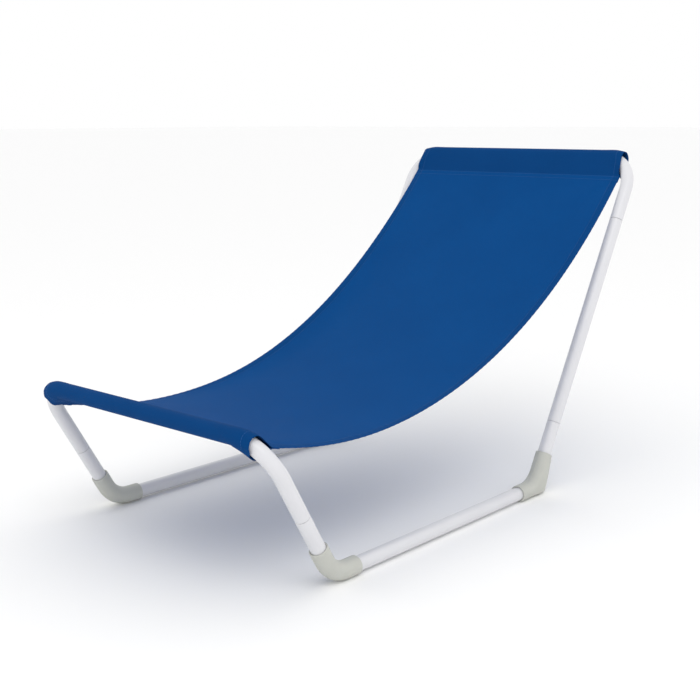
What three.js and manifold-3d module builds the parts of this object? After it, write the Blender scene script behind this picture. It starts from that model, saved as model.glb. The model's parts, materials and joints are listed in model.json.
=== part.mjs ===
// Low sling lounger for the beach: two side frames of straight tube and moulded elbows,
// a bent bow at the feet, long posts and a bent bow at the head, and a cloth sling hung
// between the bows. Tubes plug together: each swaged upper end goes into the next tube.
// Millimetres. +X across the chair, +Y from the feet to the head, +Z up.
// The chair stands on z = 0. Left and right are those of a person lying in it, so left is +X.
import * as THREE from 'three';
import { mergeVertices } from 'three/addons/utils/BufferGeometryUtils.js';
import Module from 'manifold-3d';

const wasm = await Module();
wasm.setup();

// ---- sizes of the frame ----
const SIDE_SPACING = 436; // between the left and right tube centrelines
const RAIL_SPAN = 450; // between the crossing points at the front and rear elbows
const FRONT_LEG_SPAN = 220; // crossing point to the centreline of the foot bar
const REAR_POST_SPAN = 555; // crossing point to the centreline of the head bar
const FRONT_LEAN = THREE.MathUtils.degToRad(30); // from the vertical, towards the feet
const REAR_LEAN = THREE.MathUtils.degToRad(29.3); // from the vertical, towards the head
const BEND_RADIUS = 55; // centreline radius of a bow's two bends
const FOOT_BOW_STRAIGHT = 65; // straight run of the foot bow's legs below the bends
const HEAD_BOW_STRAIGHT = 55; // straight run of the head bow's legs below the bends
const STUB_JOINT = 104; // crossing point to the lower end of the rear post, along the post
const SPIGOT_DEPTH = 45; // how far a swaged end reaches up inside the next tube

// ---- tube stock ----
const TUBE_RADIUS = 10;
const TUBE_WALL = 0.9;
const FIT_CLEARANCE = 0.3; // radial, between one tube and the next, or a tube and its socket
const STOP_GAP = 0.3; // along the tube, between two pieces that rest on each other
const SHOULDER_ROUNDING = 0.5; // at the outer edge of the shoulder below a swaged end
const SWAGE_RUN = 3; // length over which the inside narrows, in wall thicknesses
const TUBE_SIDES = 24;
const BEND_STEPS = 9;

// ---- moulded elbows ----
const ELBOW_WALL = 2.1; // round a socket
const FLOOR_FLAT = 0.6; // depth of the flat along an elbow's round underside
const ELBOW_BEND = 44; // centreline radius of the moulding
const ELBOW_STOP = 18; // crossing point to the end of a tube in its socket
const RAIL_SOCKET = 44; // crossing point to the rim on the rail
const LEG_SOCKET = 47; // crossing point to the rim on the front leg
const POST_SOCKET = 54; // crossing point to the rim on the rear post
const HEEL_REACH = 20.5; // how far the rear elbow's sole runs on behind the crossing point
const HEEL_RISE = 3; // height of the rounded corner of the heel
const HEEL_INSET = 2; // the heel block is this much narrower than the elbow on each side
const HEEL_ROUNDING = 2;
const RIM_INSET = 1.2; // the heel block stops short of the socket's rim
const ELBOW_STEPS = 8;

// ---- cloth ----
const CLOTH_THICKNESS = 1;
const CLOTH_CLEARANCE = 0.3; // between a sleeve and its tube, and between a sleeve and the sling
const SLEEVE_WRAP = THREE.MathUtils.degToRad(50); // how far a sleeve runs round each bend
const SLING_SIDE_GAP = 20; // from the side tubes' centrelines in to the sling's edges
const SLING_DIP = 33; // how far the seat hangs below the underside of the foot bar
const CORNER_SIDE_GAP = 5; // beside the bars the sling's corners stop this far inside the bends
const CORNER_END_GAP = 7; // and reach their full width this far past the bends
const SLING_STEPS = 44;

// ---- sizes that follow ----
const TUBE_BORE = TUBE_RADIUS - TUBE_WALL;
const SPIGOT_RADIUS = TUBE_BORE - FIT_CLEARANCE;
const SPIGOT_BORE = SPIGOT_RADIUS - TUBE_WALL;
const SOCKET_BORE = TUBE_RADIUS + FIT_CLEARANCE;
const ELBOW_RADIUS = SOCKET_BORE + ELBOW_WALL;
const HEEL_WIDTH = 2 * (ELBOW_RADIUS - HEEL_INSET);
const RAIL_HEIGHT = ELBOW_RADIUS - FLOOR_FLAT; // centreline of the side rails above the floor
const FOOT_BOW_LEG = BEND_RADIUS + FOOT_BOW_STRAIGHT; // foot bar to the end of the bow's leg
const HEAD_BOW_LEG = BEND_RADIUS + HEAD_BOW_STRAIGHT;
const FRONT_JOINT = FRONT_LEG_SPAN - FOOT_BOW_LEG; // crossing point to the end of the bow's leg
const REAR_JOINT = REAR_POST_SPAN - HEAD_BOW_LEG;
const SLEEVE_BORE = TUBE_RADIUS + CLOTH_CLEARANCE;
const SLEEVE_RADIUS = SLEEVE_BORE + CLOTH_THICKNESS;
const FOOT_BAR = barCentre(-1, FRONT_LEAN, FRONT_LEG_SPAN);
const HEAD_BAR = barCentre(1, REAR_LEAN, REAR_POST_SPAN);
const MIDDLE_Y = (FOOT_BAR.y + HEAD_BAR.y) / 2; // middle of the chair's length
const SLING_WIDTH = SIDE_SPACING - 2 * SLING_SIDE_GAP;

// ---- materials ----
const COATED_TUBE = { color: 0xe4e4e7, roughness: 0.32, metalness: 0.0 };
const MOULDED_GREY = { color: 0xbcbdb6, roughness: 0.62, metalness: 0.0 };
const BLUE_CLOTH = { color: 0x124c92, roughness: 0.85, metalness: 0.0 };

// Unit vector along a leg or post; end is -1 at the feet and 1 at the head.
function legDirection(end, lean) {
  return new THREE.Vector3(0, end * Math.sin(lean), Math.cos(lean));
}

function crossingPoint(end, side = 0) {
  return new THREE.Vector3(side * SIDE_SPACING / 2, end * RAIL_SPAN / 2, RAIL_HEIGHT);
}

function barCentre(end, lean, span) {
  return crossingPoint(end).addScaledVector(legDirection(end, lean), span);
}

// A path through stations that keeps their own spacing, so straight runs cost one step.
class StationPath extends THREE.Curve {
  constructor(stations) {
    super();
    this.stations = stations;
  }
  getPoint(t, target = new THREE.Vector3()) {
    const place = t * (this.stations.length - 1);
    const index = Math.min(Math.floor(place), this.stations.length - 2);
    return target.lerpVectors(this.stations[index], this.stations[index + 1], place - index);
  }
  getUtoTmapping(u) {
    return u;
  }
}

function circleShape(radius) {
  const points = [];
  for (let i = 0; i < TUBE_SIDES; i++) {
    const angle = (i + 0.5) / TUBE_SIDES * 2 * Math.PI;
    points.push(new THREE.Vector2(radius * Math.cos(angle), radius * Math.sin(angle)));
  }
  return new THREE.Shape(points);
}

// Tube, or solid bar when bore is 0, along the stations.
function sweptTube(stations, radius, bore) {
  const shape = circleShape(radius);
  if (bore > 0) shape.holes.push(circleShape(bore));
  const path = new StationPath(stations);
  return new THREE.ExtrudeGeometry(shape, {
    steps: stations.length - 1, extrudePath: path, bevelEnabled: false });
}

// Stations of a bow in its own plane: x across, y along the legs, the bar at y = 0.
// legLength is measured from the bar's centreline; wrap limits how far round the bends it goes.
function bowStations(legLength, wrap = Math.PI / 2) {
  const halfBar = SIDE_SPACING / 2 - BEND_RADIUS;
  const right = [];
  for (let i = 0; i <= BEND_STEPS; i++) {
    const angle = wrap * i / BEND_STEPS;
    const across = halfBar + BEND_RADIUS * Math.sin(angle);
    right.push(new THREE.Vector3(across, BEND_RADIUS * (Math.cos(angle) - 1), 0));
  }
  if (legLength > BEND_RADIUS) right.push(new THREE.Vector3(SIDE_SPACING / 2, -legLength, 0));
  const left = right.map((p) => new THREE.Vector3(-p.x, p.y, 0));
  return [...left.reverse(), ...right];
}

function bowGeometry(legLength) {
  return sweptTube(bowStations(legLength), TUBE_RADIUS, TUBE_BORE);
}

function sleeveGeometry() {
  return sweptTube(bowStations(0, SLEEVE_WRAP), SLEEVE_RADIUS, SLEEVE_BORE);
}

// Plain tube along +Y from 0 to length.
function plainTube(length) {
  const outline = [
    [TUBE_BORE, 0], [TUBE_RADIUS, 0], [TUBE_RADIUS, length], [TUBE_BORE, length], [TUBE_BORE, 0],
  ];
  return turned(outline);
}

// Tube along +Y from 0 to a shoulder, and from there a narrower swaged end of SPIGOT_DEPTH.
function swagedTube(shoulder) {
  const end = shoulder + SPIGOT_DEPTH;
  const outline = [
    [TUBE_BORE, 0], [TUBE_RADIUS, 0],
    [TUBE_RADIUS, shoulder - SHOULDER_ROUNDING], [TUBE_RADIUS - SHOULDER_ROUNDING, shoulder],
    [SPIGOT_RADIUS, shoulder], [SPIGOT_RADIUS, end], [SPIGOT_BORE, end],
    [SPIGOT_BORE, shoulder - TUBE_WALL], [TUBE_BORE, shoulder - SWAGE_RUN * TUBE_WALL],
    [TUBE_BORE, 0],
  ];
  return turned(outline);
}

function turned(outline) {
  const points = outline.map(([r, y]) => new THREE.Vector2(r, y));
  return new THREE.LatheGeometry(points, TUBE_SIDES);
}

// ---- solids ----
function toManifold(geometry) {
  const bare = geometry.clone();
  bare.deleteAttribute('normal');
  bare.deleteAttribute('uv');
  const merged = mergeVertices(bare, 1e-4);
  return new wasm.Manifold(new wasm.Mesh({
    numProp: 3,
    vertProperties: new Float32Array(merged.attributes.position.array),
    triVerts: new Uint32Array(merged.index.array),
  }));
}

function toGeometry(solid) {
  const mesh = solid.getMesh();
  const geometry = new THREE.BufferGeometry();
  geometry.setAttribute('position', new THREE.BufferAttribute(mesh.vertProperties, 3));
  geometry.setIndex(new THREE.BufferAttribute(mesh.triVerts, 1));
  geometry.computeVertexNormals();
  return geometry;
}

// Centreline of an elbow, crossing point at 0, rail along +Y, leg up and towards -Y.
function elbowStations(lean, legSocket) {
  const turn = Math.PI / 2 - lean;
  const tangent = ELBOW_BEND * Math.tan(turn / 2);
  const stations = [new THREE.Vector3(0, RAIL_SOCKET, 0)];
  for (let i = 0; i <= ELBOW_STEPS; i++) {
    const angle = turn * i / ELBOW_STEPS;
    const y = tangent - ELBOW_BEND * Math.sin(angle);
    stations.push(new THREE.Vector3(0, y, ELBOW_BEND * (1 - Math.cos(angle))));
  }
  stations.push(legDirection(-1, lean).multiplyScalar(legSocket));
  return stations;
}

// Socket bore along a unit direction, from the tube's stop out past the rim.
function socketBore(direction, rim) {
  const start = ELBOW_STOP - STOP_GAP;
  const length = rim + ELBOW_RADIUS - start;
  const bore = new THREE.CylinderGeometry(SOCKET_BORE, SOCKET_BORE, length, TUBE_SIDES);
  bore.translate(0, start + length / 2, 0);
  const turn = new THREE.Quaternion().setFromUnitVectors(new THREE.Vector3(0, 1, 0), direction);
  return toManifold(bore.applyQuaternion(turn));
}

// Block below and behind the rear elbow that gives it a long flat sole.
function heelBlock(lean) {
  const legAxis = new THREE.Vector2(-Math.sin(lean), Math.cos(lean));
  const outward = new THREE.Vector2(-legAxis.y, legAxis.x);
  const reach = ELBOW_RADIUS - RIM_INSET;
  const axisEnd = legAxis.clone().multiplyScalar(POST_SOCKET - RIM_INSET);
  const backTop = axisEnd.clone().addScaledVector(outward, reach);
  const outline = new THREE.Shape([
    new THREE.Vector2(RAIL_SOCKET - RIM_INSET, -RAIL_HEIGHT),
    new THREE.Vector2(RAIL_SOCKET - RIM_INSET, 0),
    new THREE.Vector2(ELBOW_STOP, RAIL_HEIGHT / 2),
    axisEnd,
    backTop,
    new THREE.Vector2(-HEEL_REACH - HEEL_RISE / 3, HEEL_RISE - RAIL_HEIGHT),
    new THREE.Vector2(-HEEL_REACH + HEEL_RISE / 3, -RAIL_HEIGHT),
  ].reverse());
  const block = new THREE.ExtrudeGeometry(outline, {
    depth: HEEL_WIDTH - 2 * HEEL_ROUNDING, bevelEnabled: true, bevelSegments: 2,
    bevelSize: HEEL_ROUNDING, bevelThickness: HEEL_ROUNDING, bevelOffset: -HEEL_ROUNDING });
  block.translate(0, 0, HEEL_ROUNDING - HEEL_WIDTH / 2);
  // the outline was drawn in x and y: turn it so that x becomes y and y becomes z
  block.applyMatrix4(new THREE.Matrix4().set(0, 0, 1, 0, 1, 0, 0, 0, 0, 1, 0, 0, 0, 0, 0, 1));
  return toManifold(block);
}

// Everything above the floor, as seen from the crossing point.
function aboveFloor() {
  const size = 4 * (POST_SOCKET + LEG_SOCKET + RAIL_SOCKET);
  const room = new THREE.BoxGeometry(size, size, size);
  room.translate(0, 0, size / 2 - RAIL_HEIGHT);
  return toManifold(room);
}

function elbowGeometry(lean, legSocket, hasHeel) {
  let body = toManifold(sweptTube(elbowStations(lean, legSocket), ELBOW_RADIUS, 0));
  if (hasHeel) body = body.add(heelBlock(lean));
  body = body.intersect(aboveFloor());
  body = body.subtract(socketBore(new THREE.Vector3(0, 1, 0), RAIL_SOCKET));
  body = body.subtract(socketBore(legDirection(-1, lean), legSocket));
  return toGeometry(body);
}

// ---- sling ----
// Hanging curve through two ends with its lowest point at a given height.
function hangingCurve(start, end, lowHeight) {
  const rise = [start.y - lowHeight, end.y - lowHeight];
  const reach = (scale, h) => scale * Math.acosh(1 + h / scale);
  let low = 1;
  let high = 1e5;
  for (let i = 0; i < 60; i++) {
    const scale = (low + high) / 2;
    if (reach(scale, rise[0]) + reach(scale, rise[1]) < end.x - start.x) low = scale;
    else high = scale;
  }
  const lowestY = start.x + reach(high, rise[0]);
  const points = [];
  for (let i = 0; i <= SLING_STEPS; i++) {
    const y = start.x + (end.x - start.x) * i / SLING_STEPS;
    points.push(new THREE.Vector2(y, lowHeight + high * (Math.cosh((y - lowestY) / high) - 1)));
  }
  return points;
}

// Closed outline of a band of the cloth's thickness about a line of points.
function bandShape(points) {
  const upper = [];
  const lower = [];
  points.forEach((point, i) => {
    const before = points[Math.max(i - 1, 0)];
    const after = points[Math.min(i + 1, points.length - 1)];
    const along = after.clone().sub(before).normalize();
    const normal = new THREE.Vector2(-along.y, along.x).multiplyScalar(CLOTH_THICKNESS / 2);
    upper.push(point.clone().add(normal));
    lower.push(point.clone().sub(normal));
  });
  return new THREE.Shape([...lower, ...upper.reverse()]);
}

// Plan of the sling, with its corners cut back clear of the bends.
function slingPlan(start, end) {
  const half = SLING_WIDTH / 2;
  const narrow = SIDE_SPACING / 2 - BEND_RADIUS - CORNER_SIDE_GAP;
  const run = BEND_RADIUS + CORNER_END_GAP;
  const margin = 2 * CLOTH_THICKNESS;
  const right = [
    [narrow, start.x - margin], [half, start.x + run],
    [half, end.x - run], [narrow, end.x + margin],
  ];
  const left = right.map(([x, y]) => [-x, y]).reverse();
  return new THREE.Shape([...right, ...left].map(([x, y]) => new THREE.Vector2(x, y)));
}

function slingGeometry() {
  const offset = SLEEVE_RADIUS + CLOTH_CLEARANCE + CLOTH_THICKNESS / 2;
  const butt = SLEEVE_RADIUS + CLOTH_CLEARANCE + CLOTH_THICKNESS / 4;
  const start = new THREE.Vector2(FOOT_BAR.y, FOOT_BAR.z - offset);
  const lowHeight = start.y - SLING_DIP;
  const headAngle = Math.atan2(HEAD_BAR.z - lowHeight, (HEAD_BAR.y - FOOT_BAR.y) / 2);
  const end = new THREE.Vector2(
    HEAD_BAR.y - butt * Math.cos(headAngle), HEAD_BAR.z - butt * Math.sin(headAngle));
  const band = new THREE.ExtrudeGeometry(bandShape(hangingCurve(start, end, lowHeight)), {
    depth: SLING_WIDTH, bevelEnabled: false });
  band.translate(0, 0, -SLING_WIDTH / 2);
  band.applyMatrix4(new THREE.Matrix4().set(0, 0, 1, 0, 1, 0, 0, 0, 0, 1, 0, 0, 0, 0, 0, 1));
  const prism = new THREE.ExtrudeGeometry(slingPlan(start, end), {
    depth: 2 * HEAD_BAR.z, bevelEnabled: false });
  return toGeometry(toManifold(band).intersect(toManifold(prism)));
}

// ---- assembly ----
const chair = new THREE.Group();
chair.position.y = -MIDDLE_Y;

function addPiece(name, geometry, finish, parent = chair) {
  const piece = new THREE.Mesh(geometry, new THREE.MeshStandardMaterial(finish));
  piece.name = name;
  parent.add(piece);
  return piece;
}

// Stands a piece that was drawn along +Y at a point, along a direction.
function aim(piece, point, direction) {
  piece.position.copy(point);
  piece.quaternion.setFromUnitVectors(new THREE.Vector3(0, 1, 0), direction);
}

// A bow and its sleeve share one turned group, with the bar at the group's origin.
function addBow(end, lean, bar, legLength, bowName, sleeveName) {
  const holder = new THREE.Group();
  aim(holder, bar, legDirection(end, lean));
  chair.add(holder);
  addPiece(bowName, bowGeometry(legLength), COATED_TUBE, holder);
  addPiece(sleeveName, sleeveGeometry(), BLUE_CLOTH, holder);
}

// Swaged tube on a leg or post line, from one distance above the crossing point to a joint.
function addUpright(name, end, side, lean, from, joint) {
  const tube = addPiece(name, swagedTube(joint - STOP_GAP - from), COATED_TUBE);
  const direction = legDirection(end, lean);
  aim(tube, crossingPoint(end, side).addScaledVector(direction, from), direction);
}

function addRail(name, side) {
  const rail = addPiece(name, plainTube(RAIL_SPAN - 2 * ELBOW_STOP), COATED_TUBE);
  const start = crossingPoint(-1, side);
  start.y += ELBOW_STOP;
  rail.position.copy(start);
}

function addElbow(name, end, side, geometry) {
  const elbow = addPiece(name, geometry, MOULDED_GREY);
  elbow.position.copy(crossingPoint(end, side));
  if (end > 0) elbow.rotation.z = Math.PI;
}

const frontElbow = elbowGeometry(FRONT_LEAN, LEG_SOCKET, false);
const rearElbow = elbowGeometry(REAR_LEAN, POST_SOCKET, true);
for (const [label, side] of [['left', 1], ['right', -1]]) {
  addRail(`side_rail_${label}`, side);
  addUpright(`front_leg_${label}`, -1, side, FRONT_LEAN, ELBOW_STOP, FRONT_JOINT);
  addUpright(`rear_stub_${label}`, 1, side, REAR_LEAN, ELBOW_STOP, STUB_JOINT);
  addUpright(`rear_post_${label}`, 1, side, REAR_LEAN, STUB_JOINT, REAR_JOINT);
  addElbow(`front_elbow_${label}`, -1, side, frontElbow);
  addElbow(`rear_elbow_${label}`, 1, side, rearElbow);
}
addBow(-1, FRONT_LEAN, FOOT_BAR, FOOT_BOW_LEG, 'foot_bow', 'foot_sleeve');
addBow(1, REAR_LEAN, HEAD_BAR, HEAD_BOW_LEG, 'head_bow', 'head_sleeve');
addPiece('sling', slingGeometry(), BLUE_CLOTH);

export default chair;
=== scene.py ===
# %% [markdown]
# # A low beach lounger
# The chair is a knock-down frame of white coated tube with four grey moulded elbows, and a blue
# cloth sling that hangs between a bow at the feet and a bow at the head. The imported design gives
# every place and joint. This lesson builds the finished surfaces round it: round tubes, rounded
# mouldings, a sewn cloth with hems and stitches, and the finishes.

import json
import math

import bmesh
import bpy
import numpy as np
from mathutils import Matrix, Vector


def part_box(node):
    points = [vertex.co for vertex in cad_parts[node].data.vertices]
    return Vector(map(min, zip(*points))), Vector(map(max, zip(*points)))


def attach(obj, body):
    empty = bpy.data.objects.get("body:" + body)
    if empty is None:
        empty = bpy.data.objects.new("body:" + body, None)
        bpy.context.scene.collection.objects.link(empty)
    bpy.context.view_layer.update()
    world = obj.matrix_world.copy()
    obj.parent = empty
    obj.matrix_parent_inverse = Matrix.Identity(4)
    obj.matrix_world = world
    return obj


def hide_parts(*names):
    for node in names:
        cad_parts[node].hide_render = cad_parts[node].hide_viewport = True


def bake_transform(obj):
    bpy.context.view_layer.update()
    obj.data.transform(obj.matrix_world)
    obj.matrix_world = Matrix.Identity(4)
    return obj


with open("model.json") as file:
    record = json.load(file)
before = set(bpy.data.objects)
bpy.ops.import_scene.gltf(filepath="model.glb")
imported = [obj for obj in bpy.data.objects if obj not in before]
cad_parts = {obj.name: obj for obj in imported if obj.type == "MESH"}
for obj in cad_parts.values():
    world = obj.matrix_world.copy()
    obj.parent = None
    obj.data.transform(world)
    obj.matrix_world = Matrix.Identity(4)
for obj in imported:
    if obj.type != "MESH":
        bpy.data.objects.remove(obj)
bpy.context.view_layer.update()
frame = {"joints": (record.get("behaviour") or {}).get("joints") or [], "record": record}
MM = 0.001
X = Vector((1, 0, 0))
Z = Vector((0, 0, 1))

# %% [markdown]
# ## Camera
# The camera stands low, in front of the feet and to the left of a person lying in the chair.
# It looks at a target near the middle of the chair. Building the turn from an azimuth, an
# elevation and a small roll keeps each angle a number that can be read and changed.

# %% Place the camera
CAMERA_AZIMUTH = math.radians(41.82)
CAMERA_ELEVATION = math.radians(11.5)
CAMERA_ROLL = math.radians(-0.2)
CAMERA_DISTANCE = 1.758
CAMERA_TARGET = Vector((-41.4, 19.2, 207.8)) * MM
CAMERA_LENS = 58.5
SENSOR_WIDTH = 36
NEAREST = 0.05


def add_object(name, data):
    made = bpy.data.objects.new(name, data)
    bpy.context.scene.collection.objects.link(made)
    return made


def place_camera():
    flat = math.cos(CAMERA_ELEVATION)
    back = Vector((
        math.sin(CAMERA_AZIMUTH) * flat,
        -math.cos(CAMERA_AZIMUTH) * flat,
        math.sin(CAMERA_ELEVATION),
    ))
    right = Vector((math.cos(CAMERA_AZIMUTH), math.sin(CAMERA_AZIMUTH), 0))
    turn = Matrix.Rotation(CAMERA_ROLL, 3, back)
    right = turn @ right
    up = back.cross(right)
    camera = add_object("camera", bpy.data.cameras.new("camera"))
    axes = Matrix((right, up, back)).transposed().to_4x4()
    camera.matrix_world = Matrix.Translation(CAMERA_TARGET + back * CAMERA_DISTANCE) @ axes
    camera.data.lens = CAMERA_LENS
    camera.data.sensor_width = SENSOR_WIDTH
    camera.data.clip_start = NEAREST
    bpy.context.scene.camera = camera
    return camera


camera = place_camera()
print("camera at", [round(v, 3) for v in camera.matrix_world.translation])

# %% [markdown]
# ## Lines of the frame
# All tubes lie on a few straight lines, and the two bows add round bends. These lines are read
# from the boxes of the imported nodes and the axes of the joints, so nothing has to be fitted.

# %% Read the frame's lines
def box_of(node):
    low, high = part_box(node)
    return low, high, (low + high) / 2


axes = {j["name"]: Vector(j["axis"]).normalized() for j in frame["joints"]}
LEG_UP = axes["foot_bow_lift"]
POST_UP = axes["head_bow_lift"]
rail_low, rail_high, rail_mid = box_of("side_rail_left")
TUBE_RADIUS = (rail_high.z - rail_low.z) / 2
HALF_SPACING = rail_mid.x
RAIL_Z = rail_mid.z
foot_low, foot_high, _ = box_of("foot_bow")
_, head_high, _ = box_of("head_bow")
FOOT_BAR = Vector((0, foot_low.y + TUBE_RADIUS, foot_high.z - TUBE_RADIUS))
HEAD_BAR = Vector((0, head_high.y - TUBE_RADIUS, head_high.z - TUBE_RADIUS))


def crossing(bar, up):
    """Where a leg or post line meets the height of the rails, at x = 0."""
    return bar - up * ((bar.z - RAIL_Z) / up.z)


def lower_end(node, up):
    """Height along the line, above the rails, of a round tube's lower end."""
    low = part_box(node)[0]
    slope = math.sqrt(1 - up.z**2)
    return (low.z + TUBE_RADIUS * slope - RAIL_Z) / up.z


FRONT_CROSSING = crossing(FOOT_BAR, LEG_UP)
REAR_CROSSING = crossing(HEAD_BAR, POST_UP)
FRONT_JOINT = lower_end("foot_bow", LEG_UP)
STUB_JOINT = lower_end("rear_post_left", POST_UP)
REAR_JOINT = lower_end("head_bow", POST_UP)
print("tube radius %.2f mm, joints at %.1f, %.1f and %.1f mm" % (
    TUBE_RADIUS / MM, FRONT_JOINT / MM, STUB_JOINT / MM, REAR_JOINT / MM))

# %% [markdown]
# ## Centreline of a bow
# A bow is one tube: a straight bar, two bends and two legs, all in one plane. Everything that
# follows the bar, such as the tube itself and the threads of the cloth, asks this class for the
# place and the outward direction at a distance from the bar's middle.

# %% Define a bow's centreline
BEND_RADIUS = 55 * MM
HALF_BAR = HALF_SPACING - BEND_RADIUS


class Bow:
    def __init__(self, bar, up):
        self.bar = bar
        self.up = up
        self.normal = X.cross(up)

    def at(self, run):
        side = 1 if run >= 0 else -1
        reach = abs(run) - HALF_BAR
        turn = min(max(reach / BEND_RADIUS, 0), math.pi / 2)
        down = max(reach - BEND_RADIUS * math.pi / 2, 0)
        across = min(abs(run), HALF_BAR) + BEND_RADIUS * math.sin(turn)
        drop = BEND_RADIUS * (1 - math.cos(turn)) + down
        centre = self.bar + X * (side * across) - self.up * drop
        outward = X * (side * math.sin(turn)) + self.up * math.cos(turn)
        return centre, outward


foot_bow = Bow(FOOT_BAR, LEG_UP)
head_bow = Bow(HEAD_BAR, POST_UP)
BEND_RUN = BEND_RADIUS * math.pi / 2
print("bar %.1f mm long between bends of radius %.0f mm" % (2 * HALF_BAR / MM, BEND_RADIUS / MM))

# %% [markdown]
# ## From rings to meshes
# Tubes and mouldings are rings of points joined one after another. A tube's rings run along its
# outside and come back along its bore, so the wall is real and the last ring closes on the first.
# A solid moulding instead ends in a flat disc at the bottom of each socket.

# %% Helpers that make meshes
def new_object(name, points, faces, sharp=math.radians(35)):
    mesh = bpy.data.meshes.new(name)
    mesh.from_pydata([tuple(p) for p in points], [], faces)
    work = bmesh.new()
    work.from_mesh(mesh)
    if work.calc_volume(signed=True) < 0:
        bmesh.ops.reverse_faces(work, faces=work.faces[:])
    work.to_mesh(mesh)
    work.free()
    mesh.shade_smooth()
    mesh.set_sharp_from_angle(angle=sharp)
    return add_object(name, mesh)


def skin(name, rings, capped=False):
    """Joins rings of points into a closed mesh."""
    count = len(rings[0])
    points = [p for ring in rings for p in ring]
    faces = []
    last = len(rings) - 1 if capped else len(rings)
    for i in range(last):
        a, b = i * count, (i + 1) % len(rings) * count
        faces += [(a + k, a + (k + 1) % count, b + (k + 1) % count, b + k) for k in range(count)]
    if capped:
        faces.append(tuple(range(count))[::-1])
        faces.append(tuple(range(len(points) - count, len(points))))
    return new_object(name, points, faces)


def circle(centre, first, second, radius, sides):
    angles = [2 * math.pi * k / sides for k in range(sides)]
    return [centre + (first * math.cos(a) + second * math.sin(a)) * radius for a in angles]


TUBE_SIDES = 48
TUBE_WALL = 0.9 * MM
RIM_ROUNDING = 0.6 * MM


def turned_tube(name, start, along, outline):
    """Revolves an outline of (height, radius) pairs about a straight line."""
    first = X - along * X.dot(along)
    if first.length < 0.5:
        first = Z.copy()
    first.normalize()
    second = along.cross(first)
    rings = [circle(start + along * s, first, second, r, TUBE_SIDES) for s, r in outline]
    return skin(name, rings)


# %% [markdown]
# ## Straight tubes
# The side rails are plain lengths. The front legs, the rear stubs and the rear posts end in a
# swaged spigot: the mill squeezes the tube's end down, so that it slides into the next tube and
# the shoulder carries that tube's rim. The rim and the shoulder are slightly rounded, which gives
# the thin groove at each joint.

# %% Make the rails, legs, stubs and posts
FIT_CLEARANCE = 0.3 * MM
STOP_GAP = 0.3 * MM
SHOULDER_ROUNDING = 0.8 * MM
SPIGOT_DEPTH = 45 * MM
ELBOW_STOP = 18 * MM
BORE = TUBE_RADIUS - TUBE_WALL
SPIGOT_RADIUS = BORE - FIT_CLEARANCE
SPIGOT_BORE = SPIGOT_RADIUS - TUBE_WALL


def rim(height, radius, inward):
    """Rounded outer edge of a tube's end; inward is +1 or -1 along the tube, into its length."""
    steps = [math.radians(a) for a in (0, 30, 60, 90)]
    return [(height + inward * RIM_ROUNDING * (1 - math.sin(a)),
             radius - RIM_ROUNDING * (1 - math.cos(a))) for a in steps]


def plain_outline(length):
    bottom = rim(0, TUBE_RADIUS, 1)[::-1]
    top = rim(length, TUBE_RADIUS, -1)
    return [(0, BORE)] + bottom + top + [(length, BORE)]


def swaged_outline(shoulder):
    bottom = rim(0, TUBE_RADIUS, 1)[::-1]
    round_steps = [math.radians(a) for a in (0, 18, 36, 54, 72, 90)]
    rounded = [(shoulder - SHOULDER_ROUNDING * (1 - math.sin(a)),
                TUBE_RADIUS - SHOULDER_ROUNDING * (1 - math.cos(a))) for a in round_steps]
    end = shoulder + SPIGOT_DEPTH
    inside = [(shoulder, SPIGOT_RADIUS), (end - MM, SPIGOT_RADIUS),
              (end, SPIGOT_RADIUS - RIM_ROUNDING), (end, SPIGOT_BORE),
              (shoulder - TUBE_WALL, SPIGOT_BORE), (shoulder - 3 * TUBE_WALL, BORE)]
    return [(0, BORE)] + bottom + rounded + inside


SIDES = {"left": X * HALF_SPACING, "right": -X * HALF_SPACING}
tubes = {}
for label, offset in SIDES.items():
    rail_start = FRONT_CROSSING + offset + Vector((0, ELBOW_STOP, 0))
    rail_length = (REAR_CROSSING - FRONT_CROSSING).length - 2 * ELBOW_STOP
    tubes["side_rail_" + label] = turned_tube(
        "rail_tube_" + label, rail_start, Vector((0, 1, 0)), plain_outline(rail_length))
    for node, base, up, low, joint in (
        ("front_leg_", FRONT_CROSSING, LEG_UP, ELBOW_STOP, FRONT_JOINT),
        ("rear_stub_", REAR_CROSSING, POST_UP, ELBOW_STOP, STUB_JOINT),
        ("rear_post_", REAR_CROSSING, POST_UP, STUB_JOINT, REAR_JOINT),
    ):
        tubes[node + label] = turned_tube(
            node + "tube_" + label, base + offset + up * low, up,
            swaged_outline(joint - STOP_GAP - low))
print("straight tubes:", sorted(tubes))

# %% [markdown]
# ## Bent bows
# Each bow is bent from one length of the same tube. Its rings are close together in the bends,
# where the shape turns, and far apart on the straight bar and legs.

# %% Make the two bows
BEND_STEPS = 26


def bow_stations(leg_end):
    half = [0, HALF_BAR * 0.5]
    half += [HALF_BAR + BEND_RUN * i / BEND_STEPS for i in range(BEND_STEPS + 1)]
    half += [leg_end - 2 * RIM_ROUNDING]
    return [-s for s in half[:0:-1]] + half


def bow_tube(name, bow, leg_length):
    leg_end = HALF_BAR + BEND_RUN + leg_length - BEND_RADIUS
    outer = [(s, TUBE_RADIUS) for s in bow_stations(leg_end)]
    end_rim = rim(leg_end, TUBE_RADIUS, -1)
    outline = [(-s, r) for s, r in end_rim[::-1]] + outer + end_rim
    inner = [(s, BORE) for s in [leg_end] + bow_stations(leg_end)[::-1] + [-leg_end]]
    rings = []
    for s, radius in outline + inner:
        centre, outward = bow.at(s)
        rings.append(circle(centre, outward, bow.normal, radius, TUBE_SIDES))
    return skin(name, rings)


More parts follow.
